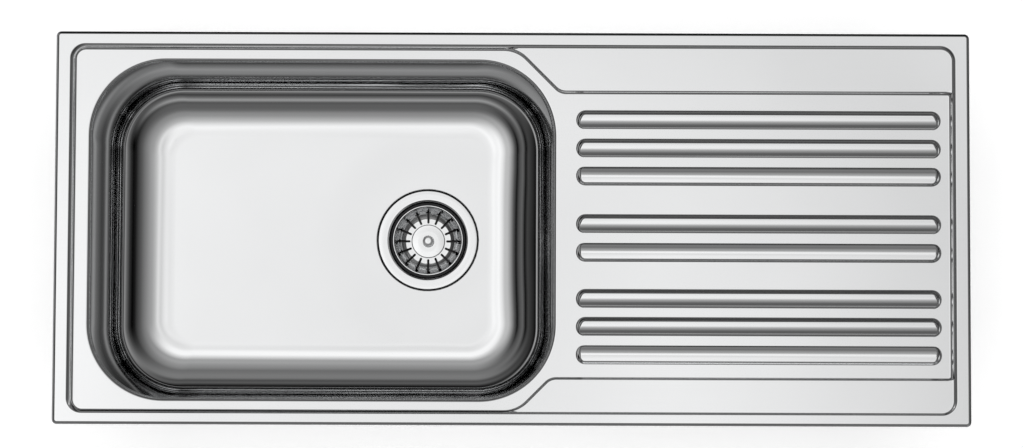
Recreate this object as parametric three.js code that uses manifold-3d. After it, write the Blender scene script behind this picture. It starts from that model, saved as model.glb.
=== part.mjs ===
// Inset kitchen sink in stainless steel: one deep bowl on the left, a ribbed drainboard on the right,
// with its basket waste, overflow, worktop clips, edge seal and sound pads.
// Millimetres. +X runs to the drainboard, +Y to the wall, +Z up.
// The origin is the centre of the outline, on the plane of the worktop's top face.
import * as THREE from "three";
import { mergeVertices } from "three/addons/utils/BufferGeometryUtils.js";
import Module from "manifold-3d";

const wasm = await Module();
wasm.setup();

// Outline and levels of the deck
const sinkLength = 1000;
const sinkWidth = 430;
const outlineRadius = 5.5;
const sheet = 1;
const rimTop = 6;
const lipRadius = 3;
const ledgeTop = 3;
const gap = 0.3;

// Field: the pressed-down area that holds the bowl and the drainboard, at level 0.
// Each edge is given at the field and at the rim, so the step between them slopes.
const fieldSide = [477.6, 485];
const fieldBack = [194.6, 202];
const fieldFront = [-196.8, -202];
const fieldCorner = [9.5, 17];
const backLedge = [145.9, 154.3];
const frontLedge = [-163, -169.4];
const backDiagonal = [198.1, 208.6];
const frontDiagonal = [202.3, 211.3];
const outerBend = [33, 40];
const innerBend = [18, 12];
const ledgeEnd = 4;

// Drainboard ribs
const ribCentres = [119.7, 88.6, 58.1, 5.7, -25.4, -76.1, -106.6, -137.2];
const ribStart = 69;
const ribEnd = 469;
const ribWidth = 20.4;
const ribSteps = [[0, -0.5], [0, 0], [2.6, 2.1], [6, 2.85], [9, 3]];

// Bowl
const bowlCentre = new THREE.Vector2(-208, -1.8);
const bowlHalfX = 257;
const bowlHalfY = 188.5;
const bowlCorner = 85;
const cornerTaper = 0.8;
const endTaper = 1.035;
const sideTaper = 0.95;
const rollRadius = 5;
const collarBottom = -7;
const draftDegrees = 2.5;
const draft = THREE.MathUtils.degToRad(draftDegrees);
const endDraft = Math.atan(endTaper * Math.tan(draft));
const floorLevel = -178;
const footRadius = 18;
const easeRadius = 120;
const easeTurn = 27;
const cornerSteps = 8;
const footSteps = 4;
const easeSteps = 3;

// Edge seal and sound pads
const sealOuter = 1.6;
const sealInner = 7;
const padThickness = 2;
const padHalfX = 165;
const padHalfY = 98;
const drainerPadX = 150;
const drainerPadY = 110;

// Waste, set in a round seat in the bowl's floor
const wasteCentre = new THREE.Vector2(-97, bowlCentre.y);
const wasteLevel = -180;
const seatRadius = 58;
const seatDepth = 3;
const seatRise = 0.4;
const wasteHole = 47;
const roundSteps = 32;
const fineSteps = 48;
const plainSteps = 20;
const smallSteps = 8;
const cupHoles = 6;
const cupHoleRadius = 8;
const cupHoleCircle = 21;

// Waste profiles as [radius, z] from the waste's level
const flangeProfile = [
  [3.6, -34], [34.4, -34], [37, -31.4], [42, -12.6], [44.8, -10.2], [45.4, -3.6], [47, -1.3],
  [56.8, -1.3], [56.6, -0.3], [46.2, -0.5], [44.6, -1.6], [44.2, -3.5], [43.8, -9.6], [41, -12],
  [36, -31], [34, -33], [3.6, -33],
];
const bodyTop = -6.6;
const spigotEnd = -84;
const cupRadius = 46;
const bodyProfile = [
  [19.5, spigotEnd], [23.5, spigotEnd], [23.5, -57], [49, -42], [49, -12], [56, -10.6],
  [56, bodyTop], [cupRadius, bodyTop], [cupRadius, -40], [19.5, -56],
];
const webProfile = [[0, -60], [20, -58], [47.5, -41], [47.5, -30], [0, -30]];
const screwProfile = [
  [0, -53], [3, -53], [3, -32.7], [7, -32.7], [7, -31], [4.5, -30], [2.6, -30], [2.2, -31.2], [0, -31.2],
];

// Strainer basket
const basketSlots = 16;
const slotWidth = 2.6;
const slotInner = 20.6;
const slotOuter = 35.8;
const stemHole = 3.4;
const basketProfile = [
  [stemHole, -25.3], [26.3, -25.3], [31.6, -23.1], [35.7, -19.1], [38.8, -13.4], [40, -8.1], [40, -3.6],
  [39.2, -3.6], [39.2, -8], [38, -13.2], [35, -18.6], [31, -22.4], [26, -24.5], [stemHole, -24.5],
];
const basketSealProfile = [[40.3, -9.2], [43.3, -9.2], [43.6, -6.6], [43.2, -4.2], [40.3, -4.2]];
const capProfile = [
  [stemHole, -24.2], [19, -24.2], [19.5, -23.8], [19.4, -22.9], [17, -22.1], [12, -21.1], [stemHole, -20.4],
];
const knobProfile = [
  [0, -29.4], [4.6, -29.4], [6, -28], [6, -25.6], [3, -25.6], [3, -18], [5.4, -17.4],
  [6.4, -16], [5.9, -14.1], [4.5, -12.5], [2.4, -11.4], [0, -11],
];

// Overflow slot in the bowl's drainboard-side wall
const overflowLevel = -40;
const overflowLength = 42;
const overflowHeight = 10;
const spigotOffset = 16;
const spigotBottom = -33;
const hoseRadius = 10;
const hoseBore = 7.5;
const studOffset = 37;
const studRadius = 2;
const gasketThickness = 2;
const gasketReach = 28;
const gasketHalf = 12;
const headReach = 29;
const headHalf = 13;
const headDepth = 29;
const headWall = 3;
const earThickness = 3;
const earHalf = 7;

// Overflow hose
const hoseBend = 60;
const ribPitch = 4.6;
const ribRise = 1.4;
const inletStart = 38;
const inletReach = 62;
const inletDrop = -42;
const inletLevel = wasteLevel + inletDrop;
const plainEnd = 20;
const nutRadius = 13.6;
const nutLobe = 0.8;
const nutHalfLength = 10;

// Clip rails and worktop clips, measured inwards from the outline
const railWeb = 11.3;
const railDepth = -14;
const railHook = 22;
const railLength = 900;
const endRailLength = 320;
const clipInset = 16.6;
const screwRadius = 2.5;
const screwHole = 3.1;
const clipSpacing = 360;
const worktopThickness = 38;

const clawLevel = -45;
const clawSheet = 2;
const clawHalf = 6;
const clawHeel = 5;
const clawReach = 36;
const clawNotch = [[-1.6, 0.2], [0, -2.2], [1.6, 0.2]];
const nutHalf = 4;
const nutHeight = 4;

const lerp = THREE.MathUtils.lerp;
const radians = THREE.MathUtils.degToRad;
const xAxis = new THREE.Vector3(1, 0, 0);
const yAxis = new THREE.Vector3(0, 1, 0);
const zAxis = new THREE.Vector3(0, 0, 1);

// Points of an arc about (x, y), from one angle through a sweep, both in degrees.
function arc(x, y, radius, start, sweep, steps) {
  return Array.from({ length: steps + 1 }, (_, i) => {
    const angle = radians(start + (sweep * i) / steps);
    return new THREE.Vector2(x + radius * Math.cos(angle), y + radius * Math.sin(angle));
  });
}

function roundedRect(halfX, halfY, radius, steps, centre = new THREE.Vector2()) {
  const corners = [[1, 1, 0], [-1, 1, 90], [-1, -1, 180], [1, -1, 270]];
  return corners.flatMap(([sx, sy, start]) => {
    const x = centre.x + sx * (halfX - radius);
    const y = centre.y + sy * (halfY - radius);
    return arc(x, y, radius, start, 90, steps);
  });
}

// A slot outline: two half circles joined by straight sides.
function stadium(halfLength, radius, steps, centre = new THREE.Vector2()) {
  const reach = halfLength - radius;
  return [
    ...arc(centre.x + reach, centre.y, radius, -90, 180, steps),
    ...arc(centre.x - reach, centre.y, radius, 90, 180, steps),
  ];
}

function circle(radius, steps, centre = new THREE.Vector2()) {
  return arc(centre.x, centre.y, radius, 0, 360, steps).slice(0, steps);
}

// An outline through corners given as [x, y, fillet radius, fillet steps], turning either way.
function filleted(corners) {
  return corners.flatMap(([x, y, radius, steps], i) => {
    const corner = new THREE.Vector2(x, y);
    const [beforeX, beforeY] = corners.at(i - 1);
    const [afterX, afterY] = corners[(i + 1) % corners.length];
    const inward = new THREE.Vector2(beforeX, beforeY).sub(corner).normalize();
    const onward = new THREE.Vector2(afterX, afterY).sub(corner).normalize();
    const turn = Math.PI - inward.angleTo(onward);
    const side = Math.sign(onward.cross(inward));
    const start = corner.clone().addScaledVector(inward, radius * Math.tan(turn / 2));
    const radial = new THREE.Vector2(-inward.y, inward.x).multiplyScalar(side);
    const centre = start.clone().addScaledVector(radial, -radius);
    return Array.from({ length: steps + 1 }, (_, k) => {
      const arm = radial.clone().rotateAround(new THREE.Vector2(), (side * turn * k) / steps);
      return centre.clone().addScaledVector(arm, radius);
    });
  });
}

// A solid through rings of { outline, z }, each outline anticlockwise with the same number of points,
// with z rising from the first ring to the last.
function loft(rings) {
  const count = rings[0].outline.length;
  const last = (rings.length - 1) * count;
  const positions = rings.flatMap(({ outline, z }) => outline.flatMap((p) => [p.x, p.y, z]));
  const index = [];
  for (let r = 0; r < last; r += count) {
    for (let i = 0; i < count; i += 1) {
      const a = r + i;
      const b = r + ((i + 1) % count);
      index.push(a, b, b + count, a, b + count, a + count);
    }
  }
  for (const [a, b, c] of THREE.ShapeUtils.triangulateShape(rings[0].outline, [])) {
    index.push(a, c, b);
  }
  for (const [a, b, c] of THREE.ShapeUtils.triangulateShape(rings.at(-1).outline, [])) {
    index.push(last + a, last + b, last + c);
  }
  const geometry = new THREE.BufferGeometry();
  geometry.setAttribute("position", new THREE.Float32BufferAttribute(positions, 3));
  geometry.setIndex(index);
  return geometry;
}

function prism(outline, bottom, top) {
  return loft([{ outline, z: bottom }, { outline, z: top }]);
}

// A solid of revolution about Z from a closed profile of [radius, z], anticlockwise.
function revolve(profile, steps = roundSteps) {
  const points = [...profile, profile[0]].map(([r, z]) => new THREE.Vector2(r, z));
  return new THREE.LatheGeometry(points, steps).rotateX(Math.PI / 2);
}

// A closed outline of [x, y] pulled along Z.
function extrude(points, depth) {
  const shape = new THREE.Shape(points.map(([x, y]) => new THREE.Vector2(x, y)));
  return new THREE.ExtrudeGeometry(shape, { depth, bevelEnabled: false });
}

// Turns a piece so that its X, Y and Z run along the world's Y, Z and X.
function alongX(geometry) {
  const basis = new THREE.Matrix4().makeBasis(yAxis, zAxis, xAxis);
  return geometry.clone().applyMatrix4(basis);
}

function toSolid(geometry) {
  const bare = geometry.clone();
  bare.deleteAttribute("normal");
  bare.deleteAttribute("uv");
  const merged = mergeVertices(bare, 1e-4);
  const corners = Array.from(merged.index.array);
  const whole = corners.filter((_, i) => {
    const first = i - (i % 3);
    const [a, b, c] = corners.slice(first, first + 3);
    return a !== b && b !== c && c !== a;
  });
  return new wasm.Manifold(new wasm.Mesh({
    numProp: 3,
    vertProperties: merged.attributes.position.array,
    triVerts: new Uint32Array(whole),
  }));
}

function toGeometry(solid) {
  const mesh = solid.getMesh();
  const geometry = new THREE.BufferGeometry();
  geometry.setAttribute("position", new THREE.Float32BufferAttribute(mesh.vertProperties, 3));
  geometry.setIndex(Array.from(mesh.triVerts));
  return geometry;
}

function cut(base, ...tools) {
  return tools.reduce((solid, tool) => solid.subtract(tool), base);
}

function fuse(base, ...additions) {
  return additions.reduce((solid, addition) => solid.add(addition), base);
}

// Materials
function brushedSteel() {
  return new THREE.MeshStandardMaterial({ color: 0xd9dadb, roughness: 0.28, metalness: 1 });
}

function polishedSteel() {
  return new THREE.MeshStandardMaterial({ color: 0xe2e3e4, roughness: 0.12, metalness: 1 });
}

function zincPlate() {
  return new THREE.MeshStandardMaterial({ color: 0xb9bcbf, roughness: 0.42, metalness: 1 });
}

function blackRubber() {
  return new THREE.MeshStandardMaterial({ color: 0x121212, roughness: 0.7, metalness: 0 });
}

function greyFoam() {
  return new THREE.MeshStandardMaterial({ color: 0x4b4c4e, roughness: 0.95, metalness: 0 });
}

function soundPad() {
  return new THREE.MeshStandardMaterial({ color: 0x5d6064, roughness: 0.9, metalness: 0 });
}

function whitePlastic() {
  return new THREE.MeshStandardMaterial({ color: 0xe9e8e3, roughness: 0.45, metalness: 0 });
}

const sink = new THREE.Group();

function place(name, shape, material, parent = sink) {
  const geometry = shape.isBufferGeometry ? shape : toGeometry(shape);
  const mesh = new THREE.Mesh(geometry, material);
  mesh.name = name;
  parent.add(mesh);
  return mesh;
}

// Outline of the field where its step has risen by t, from 0 at the field to 1 at the rim.
// Past the bowl it narrows through an S-bend at the back and at the front, to leave the two ledges.
function fieldOutline(t) {
  const at = ([low, high]) => lerp(low, high, t);
  const side = at(fieldSide);
  const back = at(fieldBack);
  const front = at(fieldFront);
  return filleted([
    [side, at(backLedge), ledgeEnd, 3],
    [at(backDiagonal) - at(backLedge), at(backLedge), at(innerBend), 3],
    [at(backDiagonal) - back, back, at(outerBend), 4],
    [-side, back, at(fieldCorner), 5],
    [-side, front, at(fieldCorner), 5],
    [at(frontDiagonal) + front, front, at(outerBend), 4],
    [at(frontDiagonal) + at(frontLedge), at(frontLedge), at(innerBend), 3],
    [side, at(frontLedge), ledgeEnd, 3],
  ]);
}

// Outline of the whole area inside the rim at the same height.
function rimOutline(t) {
  const at = ([low, high]) => lerp(low, high, t);
  const corners = [[1, fieldBack], [-1, fieldBack], [-1, fieldFront], [1, fieldFront]];
  return filleted(corners.map(([sx, edge]) => [sx * at(fieldSide), at(edge), at(fieldCorner), 5]));
}

function deckOutline(inset, radius) {
  return roundedRect(sinkLength / 2 - inset, sinkWidth / 2 - inset, radius, 4);
}

// The bowl's section, drawn in from the opening's edge a little more at the ends than at the sides.
function bowlOutline(inset) {
  const corner = bowlCorner - cornerTaper * inset;
  const halfX = bowlHalfX - endTaper * inset;
  return roundedRect(halfX, bowlHalfY - sideTaper * inset, corner, cornerSteps, bowlCentre);
}

// Everything under one face of the deck sheet: depth 0 gives its top face, depth sheet its underside.
function deckForm(depth) {
  const lip = lipRadius - depth;
  const lipCentre = rimTop - lipRadius;
  const lipRings = arc(0, lipCentre, lip, 0, 90, 3).map((p) => ({ inset: lipRadius - p.x, z: p.y }));
  const lipBottom = depth > 0 ? 2 * collarBottom : 0;
  const block = toSolid(loft([{ inset: depth, z: lipBottom }, ...lipRings].map(({ inset, z }) => ({
    outline: deckOutline(inset, outlineRadius - inset),
    z,
  }))));
  const core = toSolid(prism(rimOutline(1.2), collarBottom - depth, ledgeTop - depth));
  const half = ledgeTop / rimTop;
  const ledgePocket = toSolid(loft([
    { outline: rimOutline(half), z: ledgeTop - depth },
    { outline: rimOutline(1), z: rimTop - depth },
    { outline: rimOutline(1), z: rimTop + sheet },
  ]));
  const fieldPocket = toSolid(loft([
    { outline: fieldOutline(0), z: -depth },
    { outline: fieldOutline(half), z: ledgeTop - depth },
    { outline: fieldOutline(half), z: ledgeTop - depth + sheet },
  ]));
  const ribs = ribCentres.map((y) => toSolid(drainerRib(y, depth)));
  return cut(fuse(cut(fuse(block, core), ledgePocket, fieldPocket), ...ribs), bowlOpening(depth));
}

function drainerRib(y, depth) {
  const centre = new THREE.Vector2((ribStart + ribEnd) / 2, y);
  const rings = depth > 0 ? ribSteps.filter((_, i) => i !== 3) : ribSteps;
  return loft(rings.map(([inset, height]) => ({
    outline: stadium((ribEnd - ribStart) / 2 - inset, ribWidth / 2 - inset, depth > 0 ? 5 : 8, centre),
    z: height - depth,
  })));
}

// The hole that the rolled edge of the bowl opening leaves, down past the collar's lower end.
function bowlOpening(depth) {
  const radius = rollRadius - depth;
  const sweep = 90 - draftDegrees;
  const roll = arc(0, -rollRadius, radius, 90, -sweep, 4).map((p) => ({ inset: p.x, z: p.y })).reverse();
  const run = (roll[0].z - 2 * collarBottom) * Math.tan(draft);
  const rings = [{ inset: roll[0].inset + run, z: 2 * collarBottom }, ...roll, { inset: 0, z: rimTop }];
  return toSolid(loft(rings.map(({ inset, z }) => ({ outline: bowlOutline(inset), z }))));
}

// How far the drafted wall has moved in from the opening's edge at a height, below the rolled edge.
function wallInset(z) {
  const rollBottom = -rollRadius * (1 - Math.sin(draft));
  return rollRadius * Math.cos(draft) + (rollBottom - z) * Math.tan(draft);
}

// The bend between floor and wall, as points of inset and height: a wide arc that leaves the floor,
// then a tight one up to the drafted wall.
function footCurve(offset) {
  const turn = THREE.MathUtils.degToRad(easeTurn);
  const level = floorLevel + easeRadius - (easeRadius - footRadius) * Math.cos(turn);
  const inset = wallInset(level) + footRadius / Math.cos(draft);
  const easeInset = inset + (easeRadius - footRadius) * Math.sin(turn);
  const ease = arc(easeInset, floorLevel + easeRadius, easeRadius + offset, -90, -easeTurn, easeSteps);
  const sweep = draftDegrees + easeTurn - 90;
  return [...ease, ...arc(inset, level, footRadius + offset, -90 - easeTurn, sweep, footSteps).slice(1)];
}

// The bowl's cavity grown outwards by offset: drafted walls, a rounded foot, a floor falling to the waste.
function bowlForm(offset, top) {
  const foot = footCurve(offset);
  const floorEdge = bowlOutline(foot[0].x);
  const drainRing = floorEdge.map((p) => {
    const direction = p.clone().sub(wasteCentre).normalize();
    return wasteCentre.clone().addScaledVector(direction, seatRadius + 3);
  });
  return toSolid(loft([
    { outline: drainRing, z: wasteLevel - offset },
    ...foot.map((p) => ({ outline: bowlOutline(p.x), z: p.y })),
    { outline: bowlOutline(wallInset(top) - offset / Math.cos(draft)), z: top },
  ]));
}

function wasteDisc(radius, bottom, top) {
  return toSolid(prism(circle(radius, roundSteps, wasteCentre), wasteLevel + bottom, wasteLevel + top));
}

function bowl() {
  const slot = stadium(overflowLength / 2, overflowHeight / 2, 6);
  const slotPunch = alongX(prism(slot, -10, 10));
  slotPunch.translate(overflowFace().x, bowlCentre.y, overflowLevel);
  const seat = wasteDisc(seatRadius + sheet, -seatDepth - sheet, seatRise - sheet);
  const pressing = fuse(bowlForm(sheet, collarBottom), seat);
  return cut(
    pressing,
    bowlForm(0, collarBottom + sheet),
    wasteDisc(seatRadius, -seatDepth, sheet),
    wasteDisc(wasteHole, -3 * seatDepth, 0),
    toSolid(slotPunch),
  );
}

function deck() {
  return cut(deckForm(0), deckForm(sheet));
}

// Foam strip that the rim presses on the worktop.
function edgeSeal() {
  const ring = (inset) => deckOutline(inset, Math.max(outlineRadius - inset, 2));
  const top = rimTop - sheet - gap;
  const strip = loft([
    { outline: ring(sealOuter), z: 0 },
    { outline: ring(sealOuter), z: rimTop - lipRadius },
    { outline: ring(lipRadius + gap), z: top },
  ]);
  return cut(toSolid(strip), toSolid(prism(ring(sealInner), -1, top + 1)));
}

// Pad stuck under the bowl's floor, following its fall, with a round opening for the waste.
function bowlPad() {
  const patch = roundedRect(padHalfX, padHalfY, 20, 4, bowlCentre);
  const layer = cut(bowlForm(sheet + gap + padThickness, -100), bowlForm(sheet + gap, 0));
  const trimmed = layer.intersect(toSolid(prism(patch, floorLevel - 12, floorLevel + 4)));
  return cut(trimmed, wasteDisc(seatRadius + 12, -20, 20));
}

function drainerPad() {
  const centre = new THREE.Vector2((ribStart + ribEnd) / 2, (ribCentres[0] + ribCentres.at(-1)) / 2);
  const top = -sheet - gap;
  return prism(roundedRect(drainerPadX, drainerPadY, 20, 4, centre), top - padThickness, top);
}

// Folded rail along one edge: a flange under the rim, a web inside the cut-out and a hooked lower flange.
// In the frame of an edge, +Y points out of the sink and the outline lies at y = reach.
function clipRail(reach, length, clips) {
  const top = rimTop - sheet - gap;
  const profile = [
    [railWeb - 3.8, top], [railWeb - 3.8, top - sheet], [railWeb, top - sheet], [railWeb, railDepth],
    [railHook, railDepth], [railHook, railDepth + 4], [railHook - sheet, railDepth + 4],
    [railHook - sheet, railDepth + sheet], [railWeb + sheet, railDepth + sheet], [railWeb + sheet, top],
  ];
  const strip = alongX(extrude(profile.map(([inset, z]) => [reach - inset, z]), length));
  strip.translate(-length / 2, 0, 0);
  const slots = clips.map((x) => {
    const centre = new THREE.Vector2(x, reach - clipInset);
    return toSolid(prism(stadium(5.5, screwHole + 0.2, 4, centre), railDepth - 1, railDepth + 2 * sheet));
  });
  return cut(toSolid(strip), ...slots);
}

// Square nut that slides in the rail.
function clipNut() {
  const bottom = railDepth + sheet + gap;
  const block = new THREE.BoxGeometry(2 * nutHalf, 2 * nutHalf, nutHeight);
  block.translate(0, 0, bottom + nutHeight / 2);
  const hole = prism(circle(screwHole, smallSteps), bottom - 1, bottom + nutHeight + 1);
  return cut(toSolid(block), toSolid(hole));
}

// Hexagon screw with a collar, its head hanging under the claw.
function clipScrew() {
  const seat = clawLevel - clawSheet - gap;
  const shank = revolve([
    [0, seat - 1.4], [5.4, seat - 1.4], [5.4, seat], [screwRadius, seat],
    [screwRadius, railDepth + 8], [screwRadius - 0.7, railDepth + 8.7], [0, railDepth + 8.7],
  ], smallSteps);
  const head = prism(circle(4.6, 6), seat - 5.4, seat - 1);
  return fuse(toSolid(shank), toSolid(head));
}

// Bent strip: a heel that bears up against the rail, an arm below the worktop and a toothed toe.
function clipClaw() {
  const heelTop = railDepth - gap - 0.1;
  const low = clawLevel - clawSheet;
  const toeTop = -worktopThickness - 0.4;
  const side = filleted([
    [-clawHeel - clawSheet, low, 4, 2], [clawReach, low, 4, 2], [clawReach, toeTop, 0.2, 1],
    [clawReach - clawSheet, toeTop, 0.2, 1], [clawReach - clawSheet, clawLevel, 2, 2],
    [-clawHeel, clawLevel, 2, 2], [-clawHeel, heelTop, 0.2, 1], [-clawHeel - clawSheet, heelTop, 0.2, 1],
  ]);
  const strip = extrude(side.map((p) => [p.x, p.y]), 2 * clawHalf);
  strip.rotateX(Math.PI / 2).translate(0, clawHalf, 0);
  const notches = [-1, 1].map((s) => {
    const notch = clawNotch.map(([y, z]) => [(s * clawHalf) / 3 + y, z]);
    const tool = alongX(extrude(notch, 2 * clawSheet));
    return toSolid(tool.translate(clawReach - 1.5 * clawSheet, 0, -worktopThickness));
  });
  const hole = toSolid(prism(circle(screwHole, smallSteps), low - 1, clawLevel + 1));
  return cut(toSolid(strip), hole, ...notches);
}

// Stainless waste: a flange seated in the bowl's floor round a tapered cup, holed in its base.
function wasteFlange() {
  const cup = revolve(flangeProfile, fineSteps);
  const holes = Array.from({ length: cupHoles }, (_, i) => {
    const angle = (2 * Math.PI * i) / cupHoles;
    const centre = new THREE.Vector2(cupHoleCircle * Math.cos(angle), cupHoleCircle * Math.sin(angle));
    return toSolid(prism(circle(cupHoleRadius, 12, centre), -36, -31));
  });
  return cut(toSolid(cup), ...holes);
}

function flatRing(inner, outer, bottom, top) {
  return revolve([[inner, bottom], [outer, bottom], [outer, top], [inner, top]]);
}

// Moulded trap body: clamping rim, cup, cone, spigot, overflow inlet and a webbed boss for the screw.
function wasteBody() {
  const pipe = (radius, from, to) => {
    return toSolid(alongX(prism(circle(radius, plainSteps), from, to)).translate(0, 0, inletDrop));
  };
  const boss = toSolid(prism(circle(7, plainSteps), -54, -37));
  const webs = [60, 180, 300].map((angle) => {
    const web = new THREE.BoxGeometry(42, 3, 10).translate(26, 0, -43).rotateZ(radians(angle));
    return toSolid(web).intersect(toSolid(revolve(webProfile)));
  });
  const hollow = toSolid(prism(circle(cupRadius, roundSteps), -60, -20));
  const inlet = cut(pipe(hoseRadius, inletStart, inletReach), hollow);
  return cut(
    fuse(toSolid(revolve(bodyProfile)), inlet, boss, ...webs),
    pipe(hoseBore, inletStart - 8, inletReach + 1),
    toSolid(prism(circle(stemHole, plainSteps), -60, -30)),
  );
}

function wasteScrew() {
  return revolve(screwProfile, plainSteps);
}

// Strainer basket: a pressed cup with radial slots from its floor up the curve of its wall.
function basket() {
  const cup = revolve(basketProfile, fineSteps);
  const reach = (slotOuter - slotInner) / 2;
  const slots = Array.from({ length: basketSlots }, (_, i) => {
    const slot = prism(stadium(reach, slotWidth / 2, 3), -28, -12);
    return toSolid(slot.translate(slotInner + reach, 0, 0).rotateZ((2 * Math.PI * i) / basketSlots));
  });
  return cut(toSolid(cup), ...slots);
}

function basketSeal() {
  return revolve(basketSealProfile, fineSteps);
}

// Domed cover over the middle of the basket.
function basketCap() {
  return revolve(capProfile);
}

// Lift knob on a stem that runs down through the cap and the basket to the foot that centres it.
function basketKnob() {
  return revolve(knobProfile, plainSteps);
}

// Where the overflow's centre line leaves the outer face of the bowl's wall.
function overflowFace() {
  const inset = wallInset(overflowLevel) - sheet / Math.cos(draft);
  return new THREE.Vector3(bowlCentre.x + bowlHalfX - endTaper * inset, bowlCentre.y, overflowLevel);
}

// Overflow pieces lie in a frame whose +X leaves the wall square to it and whose +Z runs up the wall.
function overflowGasket() {
  const ring = prism(stadium(gasketReach, gasketHalf, 6), gap, gap + gasketThickness);
  const bore = prism(stadium(overflowLength / 2 + 1.5, overflowHeight / 2 + 1.5, 6), 0, 2 * gasketThickness);
  return cut(toSolid(alongX(ring)), toSolid(alongX(bore)));
}

// Hollow head with a flat ear on each side and a spigot below.
function overflowHead() {
  const face = 2 * gap + gasketThickness;
  const inner = stadium(headReach - headWall, headHalf - headWall, 6);
  const body = toSolid(alongX(prism(stadium(headReach, headHalf, 6), face, headDepth)));
  const ears = toSolid(alongX(prism(stadium(studOffset + earHalf, earHalf, 5), face, face + earThickness)));
  const pipe = (radius, bottom, top) => {
    return toSolid(prism(circle(radius, plainSteps), bottom, top).translate(spigotOffset, 0, 0));
  };
  const spigot = pipe(hoseRadius, spigotBottom, -6);
  const cavity = toSolid(alongX(prism(inner, 0, headDepth - headWall)));
  const bore = pipe(hoseBore, spigotBottom - 1, 0);
  const holes = [-studOffset, studOffset].map((y) => {
    return toSolid(alongX(prism(circle(studRadius + gap, 12, new THREE.Vector2(y, 0)), 0, headDepth)));
  });
  return cut(fuse(body, ears, spigot), cavity, bore, ...holes);
}

function overflowStud(y) {
  return alongX(prism(circle(studRadius, 12, new THREE.Vector2(y, 0)), gap, 11));
}

function overflowNut(y) {
  const centre = new THREE.Vector2(y, 0);
  const seat = 3 * gap + gasketThickness + earThickness;
  const hexagon = toSolid(alongX(prism(circle(4.1, 6, centre), seat, seat + 3.2)));
  return cut(hexagon, toSolid(alongX(prism(circle(studRadius + gap, 12, centre), 0, seat + 5))));
}

// Union nut with finger lobes, centred on the joint between a spigot and the hose.
function hoseNut() {
  const lobed = circle(1, roundSteps).map((p, i) => {
    return p.multiplyScalar(nutRadius + nutLobe * Math.cos((Math.PI * i) / 2));
  });
  const bore = prism(circle(hoseRadius + ribRise + gap, plainSteps), -nutHalfLength - 1, nutHalfLength + 1);
  return cut(toSolid(prism(lobed, -nutHalfLength, nutHalfLength)), toSolid(bore));
}

// The hose drops parallel to the wall, turns through one bend and meets the waste's inlet head on.
function hoseRoute() {
  const spigot = new THREE.Vector3(spigotOffset, 0, spigotBottom - gap).applyAxisAngle(yAxis, endDraft);
  const start = spigot.add(overflowFace());
  const end = new THREE.Vector3(wasteCentre.x + inletReach + gap, wasteCentre.y, inletLevel);
  const down = new THREE.Vector3(-Math.sin(endDraft), 0, -Math.cos(endDraft));
  const turn = Math.PI / 2 - endDraft;
  const drop = (start.z - inletLevel) / Math.cos(endDraft);
  const cornerX = start.x - drop * Math.sin(endDraft);
  const tangent = hoseBend * Math.tan(turn / 2);
  const first = drop - tangent;
  const second = hoseBend * turn;
  const third = cornerX - tangent - end.x;
  const centre = new THREE.Vector3(cornerX - tangent, start.y, inletLevel + hoseBend);
  const at = (s) => {
    if (s < first) {
      return { point: start.clone().addScaledVector(down, s), angle: endDraft };
    }
    const angle = Math.min(endDraft + (s - first) / hoseBend, Math.PI / 2);
    const arm = new THREE.Vector3(Math.cos(angle), 0, -Math.sin(angle)).multiplyScalar(hoseBend);
    const beyond = Math.max(0, s - first - second);
    return { point: centre.clone().add(arm).sub(new THREE.Vector3(beyond, 0, 0)), angle };
  };
  return { length: first + second + third, at };
}

// Corrugated hose: crest and root rings along the route outside, plain rings back through the bore.
function overflowHose() {
  const route = hoseRoute();
  const ribCount = Math.floor((route.length - 2 * plainEnd) / ribPitch);
  const pitch = (route.length - 2 * plainEnd) / ribCount;
  const outer = [[0, hoseRadius], [plainEnd, hoseRadius]];
  const bore = [[0, hoseBore]];
  for (let i = 0; i < ribCount; i += 1) {
    const from = plainEnd + i * pitch;
    outer.push([from + 0.35 * pitch, hoseRadius + ribRise], [from + 0.8 * pitch, hoseRadius]);
    if (i % 5 === 0) {
      bore.push([from, hoseBore]);
    }
  }
  outer.push([route.length - plainEnd, hoseRadius], [route.length, hoseRadius]);
  bore.push([route.length - plainEnd, hoseBore], [route.length, hoseBore]);
  return tube([...outer, ...bore.reverse()], route.at, 8);
}

// A skin over rings given as [distance along the route, radius], the last joined to the first.
function tube(rings, at, sides) {
  const positions = rings.flatMap(([s, radius]) => {
    const { point, angle } = at(s);
    const across = new THREE.Vector3(Math.cos(angle), 0, -Math.sin(angle));
    return Array.from({ length: sides }, (_, i) => {
      const turn = (2 * Math.PI * i) / sides;
      const ringPoint = point.clone().addScaledVector(across, radius * Math.cos(turn));
      return ringPoint.addScaledVector(yAxis, radius * Math.sin(turn)).toArray();
    }).flat();
  });
  const index = rings.flatMap((_, r) => Array.from({ length: sides }, (_, i) => {
    const next = (r + 1) % rings.length;
    const [a, b] = [r * sides + i, r * sides + ((i + 1) % sides)];
    const [c, d] = [next * sides + ((i + 1) % sides), next * sides + i];
    return [a, c, b, a, d, c];
  }).flat());
  const geometry = new THREE.BufferGeometry();
  geometry.setAttribute("position", new THREE.Float32BufferAttribute(positions, 3));
  geometry.setIndex(index);
  return geometry;
}

// The sheet: deck, bowl, seal and pads
place("deck", deck(), brushedSteel());
place("bowl", bowl(), brushedSteel());
place("edge_seal", edgeSeal(), greyFoam());
place("bowl_pad", bowlPad(), soundPad());
place("drainer_pad", drainerPad(), soundPad());

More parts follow.
